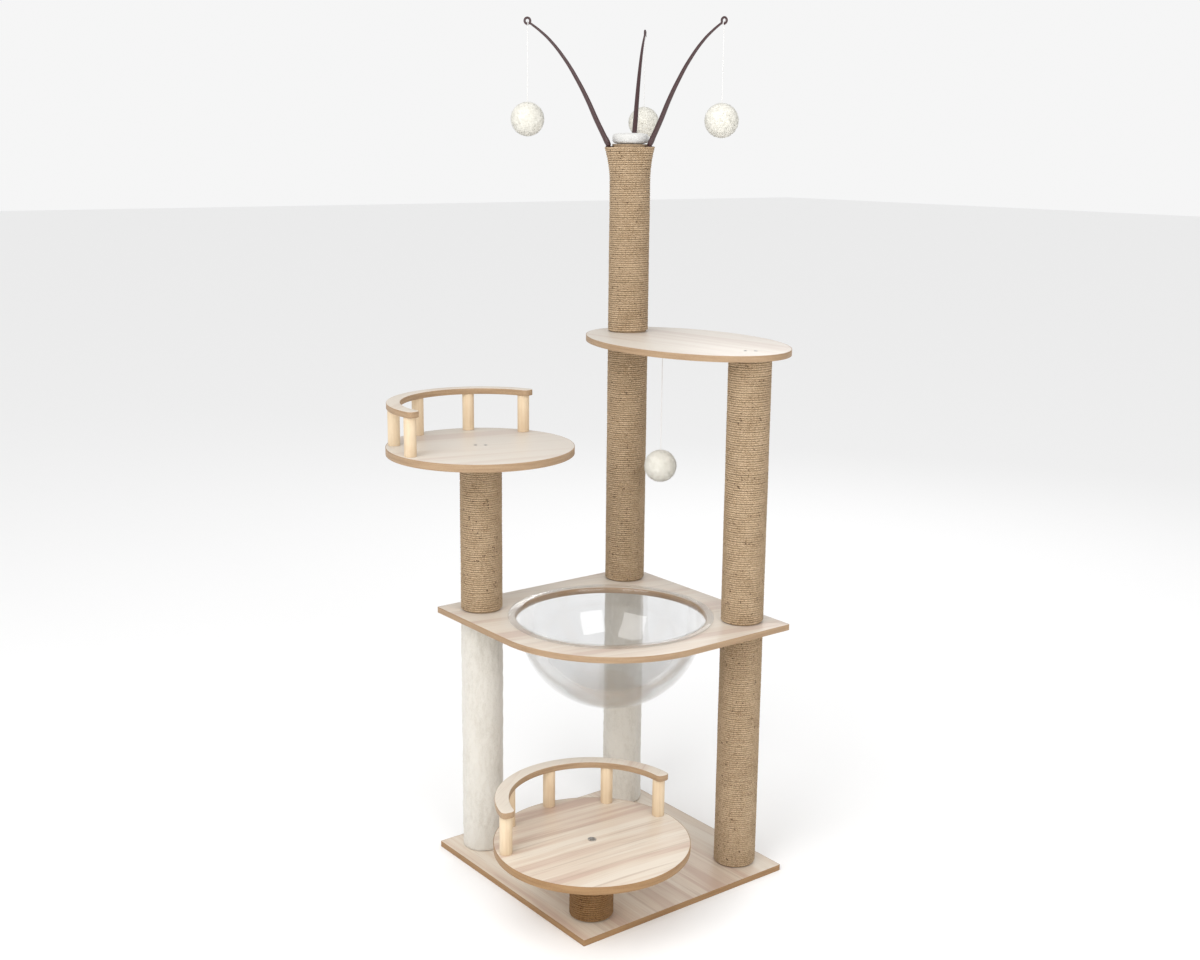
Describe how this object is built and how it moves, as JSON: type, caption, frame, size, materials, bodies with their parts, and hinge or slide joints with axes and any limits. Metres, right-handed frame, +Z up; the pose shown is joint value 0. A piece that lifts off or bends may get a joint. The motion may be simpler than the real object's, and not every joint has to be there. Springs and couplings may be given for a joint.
{
  "type": "cat tree",
  "caption": "Tall cat tree: square base, rope and plush posts, a shelf with a clear bowl, an oval perch, round seats with railings, and arched wands with hanging pompoms.",
  "frame": {"origin": "centre of the square base's underside, on the floor", "axes": "+Z up, X and Y along the base's sides; the -X -Y corner is the front, where the low seat stands, and the +X +Y corner is the back, where the tallest post stands"},
  "size_m": [0.7504, 0.745, 1.681],
  "materials": {
    "board": "matt pale laminate with a streaked grain",
    "edge_band": "satin tan banding",
    "turned_wood": "satin",
    "cardboard": "matt wound cardboard",
    "rope": "rough twisted jute",
    "plush": "short soft pile",
    "pompom": "fluffy pile",
    "string": "twisted thread",
    "dark_plastic": "matt",
    "wand_plastic": "glossy dark brown",
    "clear_acrylic": "clear and glossy",
    "steel": "zinc plated"
  },
  "bodies": {
    "stand": {"base_board": "board", "base_edge_band": "edge_band", "base_bolts": "steel", "base_washers": "steel", "left_lower_tube": "cardboard", "left_lower_plush": "plush", "left_upper_tube": "cardboard", "left_upper_rope": "rope", "back_lower_tube": "cardboard", "back_lower_plush": "plush", "back_middle_tube": "cardboard", "back_middle_rope": "rope", "back_top_tube": "cardboard", "back_top_rope": "rope", "right_lower_tube": "cardboard", "right_lower_rope": "rope", "right_upper_tube": "cardboard", "right_upper_rope": "rope", "front_tube": "cardboard", "front_rope": "rope", "post_plugs": "dark_plastic", "shelf_board": "board", "shelf_edge_band": "edge_band", "bowl_hole_band": "edge_band", "joining_studs": "steel", "perch_board": "board", "perch_edge_band": "edge_band", "perch_hook": "steel", "high_seat_board": "board", "high_seat_band": "edge_band", "high_rail": "turned_wood", "high_spindles": "turned_wood", "low_seat_board": "board", "low_seat_band": "edge_band", "low_rail": "turned_wood", "low_spindles": "turned_wood", "seat_screws": "steel", "low_seat_bolt": "steel", "spindle_screws": "steel", "rail_dowels": "turned_wood", "top_cap": "dark_plastic", "top_pad": "plush", "wand_sockets": "wand_plastic"},
    "bowl": {"bowl": "clear_acrylic"},
    "left_wand": {"left_wand": "wand_plastic"},
    "right_wand": {"right_wand": "wand_plastic"},
    "back_wand": {"back_wand": "wand_plastic"},
    "left_loop": {"left_loop": "string"},
    "right_loop": {"right_loop": "string"},
    "back_loop": {"back_loop": "string"},
    "perch_loop": {"perch_loop": "string"},
    "left_pompom": {"left_string": "string", "left_pompom": "pompom"},
    "right_pompom": {"right_string": "string", "right_pompom": "pompom"},
    "back_pompom": {"back_string": "string", "back_pompom": "pompom"},
    "perch_pompom": {"perch_string": "string", "perch_pompom": "pompom"}
  },
  "joints": [
    {"name": "bowl_lift", "type": "slide", "parent": "stand", "child": "bowl", "axis": [0, 0, 1], "range_m": [0, 0.2]},
    {"name": "left_wand_bend", "type": "hinge", "parent": "stand", "child": "left_wand", "pos_m": [0.14338, 0.20937, 1.44], "axis": [-0.2756, -0.9613, 0], "range_deg": [-12, 12], "stiffness_Nm_per_rad": 3, "springref_deg": -1.15},
    {"name": "left_loop_swing", "type": "hinge", "parent": "left_wand", "child": "left_loop", "pos_m": [-0.02244, 0.25692, 1.673], "axis": [-0.2756, -0.9613, 0], "range_deg": [-35, 25]},
    {"name": "left_string_swing", "type": "hinge", "parent": "left_loop", "child": "left_pompom", "pos_m": [-0.02244, 0.25692, 1.66725], "axis": [-0.9613, 0.2756, 0], "range_deg": [-35, 35]},
    {"name": "right_wand_bend", "type": "hinge", "parent": "stand", "child": "right_wand", "pos_m": [0.20173, 0.14894, 1.44], "axis": [0.9703, 0.2419, 0], "range_deg": [-12, 12], "stiffness_Nm_per_rad": 3, "springref_deg": -1.15},
    {"name": "right_loop_swing", "type": "hinge", "parent": "right_wand", "child": "right_loop", "pos_m": [0.24346, -0.01844, 1.673], "axis": [0.9703, 0.2419, 0], "range_deg": [-35, 25]},
    {"name": "right_string_swing", "type": "hinge", "parent": "right_loop", "child": "right_pompom", "pos_m": [0.24346, -0.01844, 1.66725], "axis": [0.2419, -0.9703, 0], "range_deg": [-35, 35]},
    {"name": "back_wand_bend", "type": "hinge", "parent": "stand", "child": "back_wand", "pos_m": [0.22489, 0.22969, 1.44], "axis": [-0.6947, 0.7193, 0], "range_deg": [-12, 12], "stiffness_Nm_per_rad": 3, "springref_deg": -1.15},
    {"name": "back_loop_swing", "type": "hinge", "parent": "back_wand", "child": "back_loop", "pos_m": [0.34897, 0.34952, 1.673], "axis": [-0.6947, 0.7193, 0], "range_deg": [-35, 25]},
    {"name": "back_string_swing", "type": "hinge", "parent": "back_loop", "child": "back_pompom", "pos_m": [0.34897, 0.34952, 1.66725], "axis": [0.7193, 0.6947, 0], "range_deg": [-35, 35]},
    {"name": "perch_loop_swing", "type": "hinge", "parent": "stand", "child": "perch_loop", "pos_m": [0.17, 0.058, 1.0365], "axis": [1, 0, 0], "range_deg": [-38, 13]},
    {"name": "perch_string_swing", "type": "hinge", "parent": "perch_loop", "child": "perch_pompom", "pos_m": [0.17, 0.058, 1.031], "axis": [0, 1, 0], "range_deg": [-35, 35]}
  ]
}
